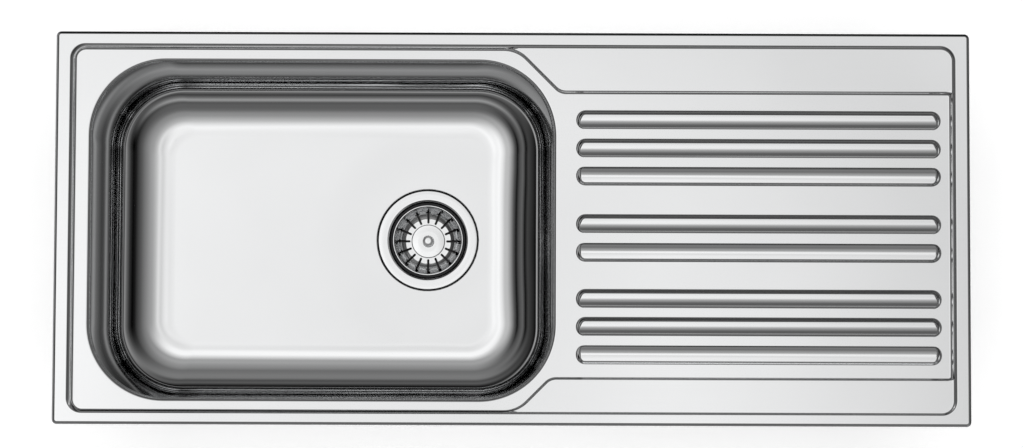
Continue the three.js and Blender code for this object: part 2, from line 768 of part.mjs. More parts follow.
// Rails and clips on the four edges, each edge turned so that its +Y points out of the sink
const longClips = [-clipSpacing, 0, clipSpacing];
const edges = [
  { side: "back", turn: 0, reach: sinkWidth / 2, length: railLength, clips: longClips },
  { side: "left", turn: 90, reach: sinkLength / 2, length: endRailLength, clips: [0] },
  { side: "front", turn: 180, reach: sinkWidth / 2, length: railLength, clips: longClips },
  { side: "right", turn: 270, reach: sinkLength / 2, length: endRailLength, clips: [0] },
];
let clipNumber = 0;
for (const { side, turn, reach, length, clips } of edges) {
  const edge = new THREE.Group();
  edge.rotation.z = radians(turn);
  sink.add(edge);
  place(`rail_${side}`, clipRail(reach, length, clips), brushedSteel(), edge);
  for (const x of clips) {
    clipNumber += 1;
    const clip = new THREE.Group();
    clip.position.set(x, reach - clipInset, 0);
    edge.add(clip);
    place(`clip_nut_${clipNumber}`, clipNut(), zincPlate(), clip);
    place(`clip_screw_${clipNumber}`, clipScrew(), zincPlate(), clip);
    place(`clip_claw_${clipNumber}`, clipClaw(), zincPlate(), clip);
  }
}

// Waste and strainer, in a frame on the floor at the waste's centre
const waste = new THREE.Group();
waste.position.set(wasteCentre.x, wasteCentre.y, wasteLevel);
sink.add(waste);
place("waste_flange", wasteFlange(), polishedSteel(), waste);
place("flange_gasket", flatRing(wasteHole + 0.6, 56.2, -seatDepth + gap, -1.7), blackRubber(), waste);
place("floor_gasket", flatRing(46.6, 55.4, bodyTop + gap, -seatDepth - sheet - gap), blackRubber(), waste);
place("waste_body", wasteBody(), whitePlastic(), waste);
place("waste_screw", wasteScrew(), polishedSteel(), waste);
place("basket", basket(), polishedSteel(), waste);
place("basket_seal", basketSeal(), blackRubber(), waste);
place("basket_cap", basketCap(), polishedSteel(), waste);
place("basket_knob", basketKnob(), polishedSteel(), waste);

// Overflow behind the slot, and its hose down to the waste
const overflow = new THREE.Group();
overflow.position.copy(overflowFace());
overflow.rotation.y = endDraft;
sink.add(overflow);
place("overflow_gasket", overflowGasket(), blackRubber(), overflow);
place("overflow_head", overflowHead(), whitePlastic(), overflow);
[-studOffset, studOffset].forEach((y, i) => {
  place(`overflow_stud_${i + 1}`, overflowStud(y), brushedSteel(), overflow);
  place(`overflow_nut_${i + 1}`, overflowNut(y), zincPlate(), overflow);
});
place("overflow_hose", overflowHose(), whitePlastic());
place("hose_nut_upper", hoseNut(), whitePlastic(), overflow).position.set(spigotOffset, 0, spigotBottom);
const lowerNut = place("hose_nut_lower", alongX(toGeometry(hoseNut())), whitePlastic());
lowerNut.position.set(wasteCentre.x + inletReach, wasteCentre.y, inletLevel);

export default sink;
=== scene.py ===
import math
import bpy
import numpy as np
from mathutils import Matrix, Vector
from mathutils.geometry import delaunay_2d_cdt


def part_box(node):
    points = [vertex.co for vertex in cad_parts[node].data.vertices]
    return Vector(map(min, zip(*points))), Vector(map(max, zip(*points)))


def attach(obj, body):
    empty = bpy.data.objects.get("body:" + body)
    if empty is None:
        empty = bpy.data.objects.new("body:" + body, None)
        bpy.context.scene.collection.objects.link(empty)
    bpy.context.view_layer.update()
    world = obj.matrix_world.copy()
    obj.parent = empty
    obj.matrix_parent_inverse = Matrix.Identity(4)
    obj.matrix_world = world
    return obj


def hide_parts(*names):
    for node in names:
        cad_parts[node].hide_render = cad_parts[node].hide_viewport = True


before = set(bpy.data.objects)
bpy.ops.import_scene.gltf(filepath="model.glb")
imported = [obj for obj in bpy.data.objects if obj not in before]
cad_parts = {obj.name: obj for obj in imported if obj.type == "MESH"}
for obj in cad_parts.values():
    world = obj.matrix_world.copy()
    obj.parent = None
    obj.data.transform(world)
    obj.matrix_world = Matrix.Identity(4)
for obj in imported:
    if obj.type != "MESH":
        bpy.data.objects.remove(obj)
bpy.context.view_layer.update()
print("frame loaded:", len(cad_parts), "nodes")

# every shape below is worked out in millimetres and scaled by mm where its mesh is made
mm = 0.001
pi = math.pi


def addPiece(name, points, faces, body, replaced, material, normals=None, sharpAngle=None,
             flatFaces=0):
    # points (n, 3) in mm, faces a list of (m, 3) or (m, 4) index arrays;
    # the last flatFaces faces keep their own normals
    mesh = bpy.data.meshes.new(name)
    allFaces = [face for part in faces for face in part.tolist()]
    mesh.from_pydata((np.asarray(points) * mm).tolist(), [], allFaces)
    mesh.polygons.foreach_set("use_smooth", np.ones(len(mesh.polygons), bool))
    if sharpAngle is not None:
        mesh.set_sharp_from_angle(angle=math.radians(sharpAngle))
    if flatFaces:
        corners, sizes = np.empty(len(mesh.loops), int), np.empty(len(mesh.polygons), int)
        faceNormals = np.empty(3 * len(mesh.polygons))
        mesh.loops.foreach_get("vertex_index", corners)
        mesh.polygons.foreach_get("loop_total", sizes)
        mesh.polygons.foreach_get("normal", faceNormals)
        own = np.repeat(faceNormals.reshape(-1, 3)[-flatFaces:], sizes[-flatFaces:], axis=0)
        mesh.normals_split_custom_set([*normals[corners[:-len(own)]].tolist(), *own.tolist()])
    elif normals is not None:
        mesh.normals_split_custom_set_from_vertices(np.asarray(normals).tolist())
    mesh.materials.append(material)
    piece = bpy.data.objects.new(name, mesh)
    bpy.context.scene.collection.objects.link(piece)
    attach(piece, body)
    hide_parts(*replaced)
    print("made", name, len(mesh.polygons), "faces")
    return piece


def gridFaces(rows, cols, closeRows=False, start=0):
    # quads between point (i, j) and its neighbours (i + 1, j + 1) of closed rows stored one by one
    i, j = np.indices((rows if closeRows else rows - 1, cols)).reshape(2, -1)
    i2, j2 = (i + 1) % rows, (j + 1) % cols
    return start + np.stack([i * cols + j, i * cols + j2, i2 * cols + j2, i2 * cols + j], axis=1)


def strip(first, second):
    # quads between two closed rows of point numbers
    return np.column_stack([first, np.roll(first, -1), np.roll(second, -1), second])


def ringGrid(rings):
    # (r, n, 3) closed rings, as one list of points
    return np.asarray(rings).reshape(-1, 3)


def withZ(outline, z):
    # plan points (n, 2) with one height, or one each
    return np.column_stack([outline, np.broadcast_to(z, len(outline))])


def roundCorners(corners, radii, steps=6):
    # open line of (a, b) whose inner corners become arcs tangent to both sides
    corners = np.asarray(corners, float)
    radii = np.broadcast_to(radii, len(corners))
    result = [corners[:1]]
    for before, corner, after, radius in zip(corners, corners[1:], corners[2:], radii[1:]):
        result.append(arcCorner(before, corner, after, radius, steps))
    result.append(corners[-1:])
    return np.concatenate(result)


def arcCorner(before, corner, after, radius, steps):
    # arc of the given radius tangent to the lines before-corner and corner-after
    inward = (before - corner) / np.linalg.norm(before - corner)
    onward = (after - corner) / np.linalg.norm(after - corner)
    turn = pi - math.acos(np.clip(inward @ onward, -1, 1))
    if turn < 1e-4 or radius <= 0:
        return corner[None]
    room = 0.49 * min(np.linalg.norm(before - corner), np.linalg.norm(after - corner))
    radius = min(radius, room / math.tan(turn / 2))
    bisector = (inward + onward) / np.linalg.norm(inward + onward)
    centre = corner + bisector * radius / math.cos(turn / 2)
    first = corner + inward * radius * math.tan(turn / 2) - centre
    last = corner + onward * radius * math.tan(turn / 2) - centre
    w = np.linspace(0, turn, steps + 1)[:, None]
    return centre + (first * np.sin(turn - w) + last * np.sin(w)) / math.sin(turn)


def closedCorners(corners, radii, steps):
    # closed outline through filleted corners
    corners = np.asarray(corners, float)
    around = [np.roll(corners, 1, axis=0), corners, np.roll(corners, -1, axis=0)]
    return np.concatenate([arcCorner(*c, r, s) for *c, r, s in zip(*around, radii, steps)])


def spread(outline, spacing):
    # closed outline with points added along its sides, no further apart than spacing
    after = np.roll(outline, -1, axis=0)
    count = np.maximum(1, np.ceil(np.linalg.norm(after - outline, axis=1) / spacing - 1e-6)).astype(int)
    side = np.repeat(np.arange(len(outline)), count)
    step = np.arange(len(side)) - np.repeat(np.cumsum(count) - count, count)
    share = (step / count[side])[:, None]
    return outline[side] * (1 - share) + after[side] * share


def roundedRect(halfX, halfY, radius, centre=(0, 0), steps=20):
    # corner k is centre + arc of the given radius from 90k degrees
    corners = np.array([[1, 1], [-1, 1], [-1, -1], [1, -1]])
    angle = np.radians(np.arange(4)[:, None] * 90 + np.linspace(0, 90, steps + 1))
    middle = np.asarray(centre) + corners * [halfX - radius, halfY - radius]
    arcs = middle[:, None, :] + radius * np.stack([np.cos(angle), np.sin(angle)], axis=2)
    return arcs.reshape(-1, 2)


def circleOutline(radius, steps):
    angle = 2 * pi * np.arange(steps) / steps
    return radius * np.column_stack([np.cos(angle), np.sin(angle)])


def slotOutline(halfLength, halfWidth, steps):
    # two half circles of radius halfWidth joined by straight sides, anticlockwise, along the first axis
    angle = np.linspace(-pi / 2, pi / 2, steps + 1)
    end = halfWidth * np.column_stack([np.cos(angle), np.sin(angle)]) + [halfLength - halfWidth, 0]
    return np.concatenate([end, -end])


def distanceTo(outline, points):
    # signed distance of points (n, 2) to a closed outline, negative inside
    a, b = outline, np.roll(outline, -1, axis=0)
    result = np.empty(len(points))
    for part in np.array_split(np.arange(len(points)), max(1, len(points) // 4000)):
        p = points[part][:, None, :]
        along = np.clip(((p - a) * (b - a)).sum(2) / ((b - a) ** 2).sum(1), 0, 1)
        gap = np.linalg.norm(p - a - along[..., None] * (b - a), axis=2).min(1)
        crosses = (a[:, 1] > p[..., 1]) != (b[:, 1] > p[..., 1])
        rise = np.where(b[:, 1] == a[:, 1], 1, b[:, 1] - a[:, 1])
        atX = a[:, 0] + (p[..., 1] - a[:, 1]) * (b[:, 0] - a[:, 0]) / rise
        inside = (crosses & (p[..., 0] < atX)).sum(1) % 2 == 1
        result[part] = np.where(inside, -gap, gap)
    return result


def triangulate(loops, paths=(), holes=()):
    # constrained Delaunay triangles over closed loops and open paths, without those inside a hole;
    # gives the points, the triangles and where each given point went
    points = np.concatenate([*loops, *paths])
    edges, start = [], 0
    for line, closed in [(loop, True) for loop in loops] + [(path, False) for path in paths]:
        k = start + np.arange(len(line))
        pairs = np.column_stack([k, np.roll(k, -1)])
        edges.append(pairs if closed else pairs[:-1])
        start += len(line)
    edges = np.concatenate(edges)
    out = delaunay_2d_cdt([Vector(p) for p in points.tolist()], edges.tolist(), [], 1, 1e-5)
    flat = np.array([list(v) for v in out[0]])
    triangles = np.array([f for f in out[2] if len(f) == 3])
    middle = flat[triangles].mean(axis=1)
    for hole in holes:
        keep = distanceTo(hole, middle) > 0
        triangles, middle = triangles[keep], middle[keep]
    place = np.full(len(points), -1)
    for new, old in enumerate(out[3]):
        place[old] = new
    a, b, c = [flat[triangles[:, k]] for k in range(3)]
    cross = (b[:, 0] - a[:, 0]) * (c[:, 1] - a[:, 1]) - (b[:, 1] - a[:, 1]) * (c[:, 0] - a[:, 0])
    triangles[cross < 0] = triangles[cross < 0][:, ::-1]
    return flat, triangles, place


def lathe(name, profile, steps, body, replaced, material):
    # profile (radius, z) turned about the waste's axis: x = r cos v, y = r sin v;
    # ends on the axis close in a point
    profile = np.asarray(profile, float)
    angle = 2 * pi * np.arange(steps) / steps
    onAxis = [k for k in (0, len(profile) - 1) if profile[k, 0] < 1e-6]
    offAxis = np.delete(profile, onAxis, axis=0)
    r, z = offAxis[:, :1], offAxis[:, 1:]
    points = np.stack([r * np.cos(angle), r * np.sin(angle), z + 0 * angle], axis=2).reshape(-1, 3)
    ring = np.arange(steps)
    faces = [gridFaces(len(offAxis), steps, closeRows=not onAxis)]
    for k in onAxis:
        base = 0 if k == 0 else (len(offAxis) - 1) * steps
        tip = len(points)
        points = np.vstack([points, [0, 0, profile[k, 1]]])
        fan = np.column_stack([base + ring, base + (ring + 1) % steps, np.full(steps, tip)])
        faces.append(fan[:, ::-1] if k == 0 else fan)
    return addPiece(name, points + wasteAt, faces, body, replaced, material, sharpAngle=50)


def newMaterial(name, color, metallic, roughness):
    material = bpy.data.materials.new(name)
    material.use_nodes = True
    shader = material.node_tree.nodes["Principled BSDF"]
    shader.inputs["Base Color"].default_value = (*color, 1)
    shader.inputs["Metallic"].default_value = metallic
    shader.inputs["Roughness"].default_value = roughness
    return material, material.node_tree, shader


def addNode(tree, kind, inputs=None, **settings):
    node = tree.nodes.new(kind)
    for key, value in settings.items():
        setattr(node, key, value)
    for key, value in (inputs or {}).items():
        node.inputs[key].default_value = value
    return node


def objectNoise(tree, scale, noiseScale, detail=3, roughness=0.5):
    # noise of Object coordinates (metres) stretched by scale
    place = addNode(tree, "ShaderNodeTexCoord")
    stretch = addNode(tree, "ShaderNodeMapping", {"Scale": scale})
    noise = addNode(tree, "ShaderNodeTexNoise",
                    {"Scale": noiseScale, "Detail": detail, "Roughness": roughness})
    tree.links.new(place.outputs["Object"], stretch.inputs["Vector"])
    tree.links.new(stretch.outputs["Vector"], noise.inputs["Vector"])
    return noise.outputs["Fac"]


def mathNode(tree, operation, first, second=0.0):
    # each value is a number or another node's output
    node = addNode(tree, "ShaderNodeMath", operation=operation)
    for k, value in enumerate([first, second]):
        if isinstance(value, float):
            node.inputs[k].default_value = value
        else:
            tree.links.new(value, node.inputs[k])
    return node.outputs[0]


def remap(tree, value, low, high):
    # the middle of a noise's range to low and high
    node = addNode(tree, "ShaderNodeMapRange",
                   {"From Min": 0.3, "From Max": 0.7, "To Min": low, "To Max": high})
    tree.links.new(value, node.inputs["Value"])
    return node.outputs["Result"]


def tint(tree, value, first, second):
    ramp = addNode(tree, "ShaderNodeValToRGB")
    ramp.color_ramp.elements[0].color = (*first, 1)
    ramp.color_ramp.elements[1].color = (*second, 1)
    tree.links.new(value, ramp.inputs["Fac"])
    return ramp.outputs["Color"]


def bumpFrom(tree, shader, value, strength, depth):
    bump = addNode(tree, "ShaderNodeBump", {"Strength": strength, "Distance": depth})
    tree.links.new(value, bump.inputs["Height"])
    tree.links.new(bump.outputs["Normal"], shader.inputs["Normal"])


def grainedSteel(name, stretch, roughness, color=(0.83, 0.835, 0.84), bump=0.06):
    # colour = steel * (0.97 to 1.02) by slow noise; roughness = low to high by noise stretched along
    # the grain; height = the same stretched noise, a few micrometres deep
    material, tree, shader = newMaterial(name, color, 1.0, sum(roughness) / 2)
    slow = objectNoise(tree, (1, 1, 1), 9, 2)
    light = [min(1, c * 1.02) for c in color]
    tree.links.new(tint(tree, slow, [c * 0.97 for c in color], light), shader.inputs["Base Color"])
    grain = objectNoise(tree, stretch, 1, 4, 0.65)
    tree.links.new(remap(tree, grain, *roughness), shader.inputs["Roughness"])
    bumpFrom(tree, shader, grain, bump, 0.00004)
    return material


def paintShadeBelow(material, level, fade):
    # colour = its own above the level, falling to 3 % of it over the fade: painted shade down in the
    # well
    tree = material.node_tree
    shader = tree.nodes["Principled BSDF"]
    place = addNode(tree, "ShaderNodeTexCoord")
    split = addNode(tree, "ShaderNodeSeparateXYZ")
    share = addNode(tree, "ShaderNodeMapRange",
                    {"From Min": level - fade, "From Max": level, "To Min": 0.03})
    mix = addNode(tree, "ShaderNodeMix", data_type="RGBA", blend_type="MULTIPLY")
    mix.inputs[0].default_value = 1
    tree.links.new(place.outputs["Object"], split.inputs[0])
    tree.links.new(split.outputs["Z"], share.inputs["Value"])
    tree.links.new(shader.inputs["Base Color"].links[0].from_socket, mix.inputs[6])
    tree.links.new(share.outputs["Result"], mix.inputs[7])
    tree.links.new(mix.outputs[2], shader.inputs["Base Color"])


def spangled(name, color, roughness):
    # zinc: colour = base * (0.86 to 1) by noise, roughness by finer noise, height by the first
    material, tree, shader = newMaterial(name, color, 1.0, sum(roughness) / 2)
    patch = objectNoise(tree, (1, 1, 1), 160, 3)
    tree.links.new(tint(tree, patch, [c * 0.86 for c in color], color), shader.inputs["Base Color"])
    wear = objectNoise(tree, (1, 1, 1), 420, 2)
    tree.links.new(remap(tree, wear, *roughness), shader.inputs["Roughness"])
    bumpFrom(tree, shader, patch, 0.12, 0.0002)
    return material


def softSurface(name, color, roughness, grain, depth, spreadShare=0.2):
    # rubber, foam or pad: colour +/- spreadShare and height, both from noise of grain per metre
    material, tree, shader = newMaterial(name, color, 0.0, roughness)
    noise = objectNoise(tree, (1, 1, 1), grain, 4, 0.6)
    low = [c * (1 - spreadShare) for c in color]
    high = [min(1, c * (1 + spreadShare)) for c in color]
    tree.links.new(tint(tree, noise, low, high), shader.inputs["Base Color"])
    bumpFrom(tree, shader, noise, 0.5, depth)
    return material


def mouldedPlastic(name, color, roughness):
    # polypropylene: colour = base * (0.965 to 1) and gloss by slow noise, height by fine noise
    material, tree, shader = newMaterial(name, color, 0.0, sum(roughness) / 2)
    slow = objectNoise(tree, (1, 1, 1), 14, 2)
    fine = objectNoise(tree, (1, 1, 1), 1800, 2)
    tree.links.new(tint(tree, slow, [c * 0.965 for c in color], color), shader.inputs["Base Color"])
    tree.links.new(remap(tree, slow, *roughness), shader.inputs["Roughness"])
    bumpFrom(tree, shader, fine, 0.25, 0.00005)
    shader.inputs["Subsurface Weight"].default_value = 0.06
    shader.inputs["Subsurface Radius"].default_value = (0.004, 0.0035, 0.003)
    return material


sheetShape = {
    "halfLength": 500.0, "halfWidth": 215.0, "cornerRadius": 5.5, "thickness": 1.0,
    "rimTop": 6.0, "lipRadius": 3.7, "ledgeRise": 3.0,
    # (inset from the outline, height, tilt of the normal from straight up)
    "lip": [(0, 0.5, 90), (0, 3.8, 90), (0.03, 4.1, 80), (0.14, 4.38, 63), (0.32, 4.6, 46),
            (0.55, 4.77, 33), (0.8, 4.9, 25), (2.6, 5.68, 23), (2.95, 5.82, 19), (3.25, 5.92, 12),
            (3.5, 5.98, 5)],
    # each pair is the foot of a step and its top
    "side": (477.0, 485.2), "back": (194.3, 202.1), "front": (-197.6, -202.9), "corner": (9.5, 17.0),
    "backLedge": (146.8, 155.2), "frontLedge": (-161.4, -167.4),
    "backDiagonal": (198.1, 208.6), "frontDiagonal": (202.3, 211.3),
    "outerBend": (33.0, 40.0), "innerBend": (18.0, 12.0), "ledgeEnd": 1.5,
    "bendShare": 0.25, "footShare": 0.4,
}

ribShape = {
    "centres": (119.7, 88.6, 58.1, 5.7, -25.4, -76.1, -106.6, -137.2),
    "apexOffsets": (3.6, 3.6, -3.6, 3.6, -3.6, 3.6, 3.6, -3.6),
    "start": 69.0, "end": 469.0, "halfWidth": 10.8, "height": 3.2, "crownRadius": 30.0, "flank": 4.9,
    "backFlank": 0.22, "endFlank": 0.45,
}

bowlShape = {
    "centre": (-208.0, -1.8), "halfX": 257.0, "halfY": 188.5, "corner": 85.0, "cornerTaper": 0.8,
    "endTaper": 1.035, "sideTaper": 0.95, "cornerSteps": 24, "sideSteps": (16, 24),
    "roll": 5.0, "collar": -7.0, "draft": math.radians(2.5),
    "floor": -179.4, "footRadius": 18.0, "easeRadius": 120.0, "easeTurn": math.radians(27),
    "wasteCentre": (-97.0, -1.8), "wasteLevel": -180.0,
    "seatRadius": 58.0, "seatDepth": 3.0, "wasteHole": 47.0, "reachOfFall": 130.0,
    "slotLevel": -40.0, "slotHalfLength": 21.0, "slotHalfHeight": 5.0,
    "wallLevels": (-75.0, -95.0, -115.0, -132.0), "seatEase": 9.0, "seatBend": 1.1,
}


deckSteel = grainedSteel("deckSteel", (5, 1100, 1100), (0.045, 0.10), bump=0.05)
bowlSteel = grainedSteel("bowlSteel", (700, 700, 14), (0.03, 0.06), bump=0.02)
railSteel = grainedSteel("railSteel", (60, 60, 900), (0.22, 0.36))
brightSteel, wellSteelPaintedShade = [grainedSteel(name, (260, 260, 260), (0.06, 0.12), (0.86, 0.865, 0.87), 0.015)
                          for name in ("brightSteel", "wellSteelPaintedShade")]
# painted shade: below 7 mm under the waste's level the well's steel fades over 4 mm to 3 % of its
# colour
paintShadeBelow(wellSteelPaintedShade, (bowlShape["wasteLevel"] - 7) * mm, 0.004)
zincPlate = spangled("zincPlate", (0.66, 0.67, 0.69), (0.28, 0.44))
blackRubber = softSurface("blackRubber", (0.012, 0.012, 0.013), 0.55, 900, 0.00008)
greyFoam = softSurface("greyFoam", (0.075, 0.076, 0.08), 0.95, 1500, 0.0005, 0.45)
soundPad = softSurface("soundPad", (0.10, 0.104, 0.11), 0.88, 700, 0.0004, 0.25)
whitePlastic = mouldedPlastic("whitePlastic", (0.80, 0.79, 0.75), (0.34, 0.46))


def between(pair, t):
    return pair[0] + (pair[1] - pair[0]) * t


def fieldOutline(t, s=sheetShape):
    # foot of the step at t = 0, its top at t = 1; past the bowl it draws in round the two ledges
    side, back, front = [between(s[key], t) for key in ("side", "back", "front")]
    ledges = [between(s[key], t) for key in ("backLedge", "frontLedge")]
    diagonals = [between(s[key], t) for key in ("backDiagonal", "frontDiagonal")]
    corner, outer, inner = [between(s[key], t) for key in ("corner", "outerBend", "innerBend")]
    corners = [
        (side, ledges[0]), (diagonals[0] - ledges[0], ledges[0]), (diagonals[0] - back, back),
        (-side, back), (-side, front),
        (diagonals[1] + front, front), (diagonals[1] + ledges[1], ledges[1]), (side, ledges[1]),
    ]
    radii = [s["ledgeEnd"], inner, outer, corner, corner, outer, inner, s["ledgeEnd"]]
    return closedCorners(corners, radii, [8, 10, 14, 14, 14, 14, 10, 8])


def rimOutline(t, s=sheetShape):
    side, back, front, corner = [between(s[key], t) for key in ("side", "back", "front", "corner")]
    corners = [(side, back), (-side, back), (-side, front), (side, front)]
    return closedCorners(corners, [corner] * 4, [14] * 4)


def softEdge(t, width):
    # integral of a slope that rises from 0 to 1 over width as (1 - cos) / 2
    u = np.clip(t, 0, width)
    return u / 2 - width / (2 * pi) * np.sin(pi * u / width) + np.maximum(t - width, 0)


def stepRise(t, low, high, rise, foot=sheetShape["bendShare"]):
    # height gained over t from low to high, with a soft bend at each end
    e = sheetShape["bendShare"]
    run = softEdge(t - low, foot) - softEdge(t - (high - e), e)
    return rise * run / (high - low - (foot + e) / 2)


def shareAcross(outline, points):
    # 0 on outline(0), 1 on outline(1), by the two signed distances
    inner = distanceTo(outline(0), points)
    outer = distanceTo(outline(1), points)
    return np.clip(inner / (inner - outer), 0, 1)


def ribHeight(points, s=ribShape):
    # S-curve of the distance in from the rib's edge over a flank that is widest at the ends and
    # steepest in front, under a crown that is an arc about its apex
    result = np.zeros(len(points))
    for centre, offset in zip(s["centres"], s["apexOffsets"]):
        reach = s["halfWidth"]
        x = np.clip(points[:, 0], s["start"] + reach, s["end"] - reach)
        away = np.column_stack([points[:, 0] - x, points[:, 1] - centre])
        distance = np.maximum(np.linalg.norm(away, axis=1), 1e-6)
        inward = reach - distance
        alongX, alongY = away[:, 0] / distance, away[:, 1] / distance
        flank = s["flank"] * (1 + s["backFlank"] * alongY + s["endFlank"] * alongX ** 2)
        across = points[:, 1] - centre - offset
        crown = s["height"] - across ** 2 / (2 * s["crownRadius"])
        u = np.clip(inward * s["height"] / (flank * np.maximum(crown, 1)), 0, 1)
        result = np.maximum(result, np.where(inward > 0, crown * (1 - np.cos(pi * u)) / 2, 0))
    return result


def sheetHeight(points, s=sheetShape):
    # level of the sheet's top face inside the lip: two steps and the ribs
    e = s["bendShare"]
    inner = stepRise(shareAcross(fieldOutline, points), 0, 0.5 + e / 2, s["ledgeRise"], s["footShare"])
    outer = stepRise(shareAcross(rimOutline, points), 0.5 - e / 2, 1, s["rimTop"] - s["ledgeRise"])
    return inner + outer + ribHeight(points)


def heightNormals(points):
    # normal of z(x, y) by central differences of 0.05 mm
    d = 0.05
    slopeX = (sheetHeight(points + [d, 0]) - sheetHeight(points - [d, 0])) / (2 * d)
    slopeY = (sheetHeight(points + [0, d]) - sheetHeight(points - [0, d])) / (2 * d)
    normal = np.column_stack([-slopeX, -slopeY, np.ones(len(points))])
    return normal / np.linalg.norm(normal, axis=1)[:, None]


def bowlOutline(inset, s=bowlShape):
    halfX = s["halfX"] - s["endTaper"] * inset
    halfY = s["halfY"] - s["sideTaper"] * inset
    radius = s["corner"] - s["cornerTaper"] * inset
    outline = roundedRect(halfX, halfY, radius, s["centre"], s["cornerSteps"])
    return subdivideSides(outline, s["cornerSteps"] + 1, s["sideSteps"])


def subdivideSides(outline, cornerPoints, counts):
    # rounded rectangle whose straight sides, along Y and along X, are divided into steps
    corners = outline.reshape(4, cornerPoints, 2)
    result = []
    for k in range(4):
        count = counts[1] if k % 2 == 0 else counts[0]
        w = np.arange(1, count)[:, None] / count
        side = corners[k, -1] * (1 - w) + corners[(k + 1) % 4, 0] * w
        result += [corners[k], side]
    return np.concatenate(result)


def wallInset(z, s=bowlShape):
    # how far the drafted wall has moved in from the opening's edge at a height
    rollBottom = -s["roll"] * (1 - math.sin(s["draft"]))
    return s["roll"] * math.cos(s["draft"]) + (rollBottom - z) * math.tan(s["draft"])


def outlineNormals(outline):
    # unit vectors out of a closed anticlockwise outline, in plan
    along = np.roll(outline, -1, axis=0) - np.roll(outline, 1, axis=0)
    out = np.column_stack([along[:, 1], -along[:, 0]])
    return out / np.linalg.norm(out, axis=1)[:, None]


def makeDeck(s=sheetShape, b=bowlShape):
    # top face: lip rings, then z(x, y) over a triangulated plan with every bend ringed, then the
    # rolled edge; bottom face: each point moved by the sheet's thickness against its normal
    e = s["bendShare"]

    def lipOutline(inset):
        return spread(roundedRect(s["halfLength"] - inset, s["halfWidth"] - inset,
                                  s["cornerRadius"] - inset, steps=10), 40)

    lipLoop = lipOutline(s["lipRadius"])
    bowlLoop = bowlOutline(0)
    innerShares = [*np.linspace(0, s["footShare"], 9), *np.linspace(s["footShare"], 0.5, 3)[1:]]
    outerShares = [*np.linspace(0.5, 1 - e, 3)[1:], *np.linspace(1 - e, 1, 7)[1:]]
    loops = [lipLoop, bowlLoop, spread(bowlOutline(-3), 20)]
    loops += [spread(fieldOutline(t), 12) for t in innerShares]
    loops += [spread(rimOutline(t), 12) for t in outerShares]
    loops += [spread(fieldOutline(-0.4), 25), spread(rimOutline(1.3), 25)]
    paths = []
    # bends that are there only where the two steps lie apart
    for t in np.linspace(0.5, 0.5 + e / 2, 5)[1:]:
        line = spread(fieldOutline(t), 6)
        paths += splitPath(line, shareAcross(rimOutline, line) < 0.3)
    for t in np.linspace(0.5 - e / 2, 0.5, 5)[:-1]:
        line = spread(rimOutline(t), 6)
        paths += splitPath(line, shareAcross(fieldOutline, line) > 0.72)
    for centre in ribShape["centres"]:
        middle = ((ribShape["start"] + ribShape["end"]) / 2, centre)
        reach = (ribShape["end"] - ribShape["start"]) / 2
        for inward in [-1.5, *np.linspace(0, ribShape["flank"] * 1.25, 14), 7.4, 8.6]:
            ring = slotOutline(reach - inward, ribShape["halfWidth"] - inward, 14)
            loops.append(spread(ring, 40) + middle)
        paths.append(np.column_stack([np.linspace(-reach, reach, 12) * 0.965, np.zeros(12)]) + middle)
    flat, triangles, place = triangulate(loops, paths, holes=[bowlLoop])
    top = withZ(flat, sheetHeight(flat))
    normals = heightNormals(flat)
    top[place[:len(lipLoop)], 2] = s["rimTop"]
    normals[place[:len(lipLoop)]] = (0, 0, 1)

    # lip strip, from its lower edge up to the plan's outer loop
    outward = outlineNormals(lipOutline(0))
    lipRings, lipNormals = [], []
    for inset, z, tilt in s["lip"]:
        a = math.radians(tilt)
        lipRings.append(withZ(lipOutline(inset), z))
        lipNormals.append(np.column_stack([outward * math.sin(a), np.full(len(outward), math.cos(a))]))
    # rolled edge and collar, from the plan's hole down
    rollNormal = np.column_stack([outlineNormals(bowlLoop) * -1, np.zeros(len(bowlLoop))])
    rollAngles = np.linspace(0, pi / 2 - b["draft"], 15)[1:]
    rollRings, rollNormals = [], []
    for a in rollAngles:
        rollRings.append(withZ(bowlOutline(b["roll"] * math.sin(a)), -b["roll"] * (1 - math.cos(a))))
        rollNormals.append(rollNormal * math.sin(a) + [0, 0, math.cos(a)])
    rollRings.append(withZ(bowlOutline(wallInset(b["collar"])), b["collar"]))
    rollNormals.append(rollNormals[-1])

    n, m = len(lipLoop), len(bowlLoop)
    lipStart = len(top)
    rollStart = lipStart + len(lipRings) * n
    points = np.concatenate([top, ringGrid(lipRings), ringGrid(rollRings)])
    normals = np.concatenate([normals, ringGrid(lipNormals), ringGrid(rollNormals)])
    normals /= np.linalg.norm(normals, axis=1)[:, None]
    lipFaces = gridFaces(len(lipRings), n, start=lipStart)
    last = lipStart + (len(lipRings) - 1) * n + np.arange(n)
    joinRoll = strip(place[n:n + m], rollStart + np.arange(m))
    rollFaces = gridFaces(len(rollRings), m, start=rollStart)
    topFaces = [triangles, lipFaces, strip(last, place[:n]), joinRoll, rollFaces]

    under = points - normals * s["thickness"]
    count = len(points)
    underFaces = [f[:, ::-1] + count for f in topFaces]
    # half-round lower edge of the lip, and the flat end of the collar
    edgeAngles = np.linspace(0, pi, 7)[1:-1]
    half = s["thickness"] / 2
    edgeRings = [withZ(lipOutline(half * (1 - math.cos(a))), half * (1 - math.sin(a)))
                 for a in edgeAngles]
    edgeNormals = [np.column_stack([outward * math.cos(a), np.full(n, -math.sin(a))])
                   for a in edgeAngles]
    outer = lipStart + np.arange(n)
    rows = [outer, *[(2 * count + k * n) + np.arange(n) for k in range(len(edgeAngles))], outer + count]
    edgeFaces = [strip(low, high) for high, low in zip(rows, rows[1:])]
    collar = rollStart + (len(rollRings) - 1) * m + np.arange(m)
    allPoints = np.concatenate([points, under, ringGrid(edgeRings)])
    allNormals = np.concatenate([normals, -normals, ringGrid(edgeNormals)])
    faces = topFaces + underFaces + edgeFaces + [strip(collar, collar + count)]
    return addPiece("deckSheet", allPoints, faces, "sink", ["deck"], deckSteel,
                    allNormals)


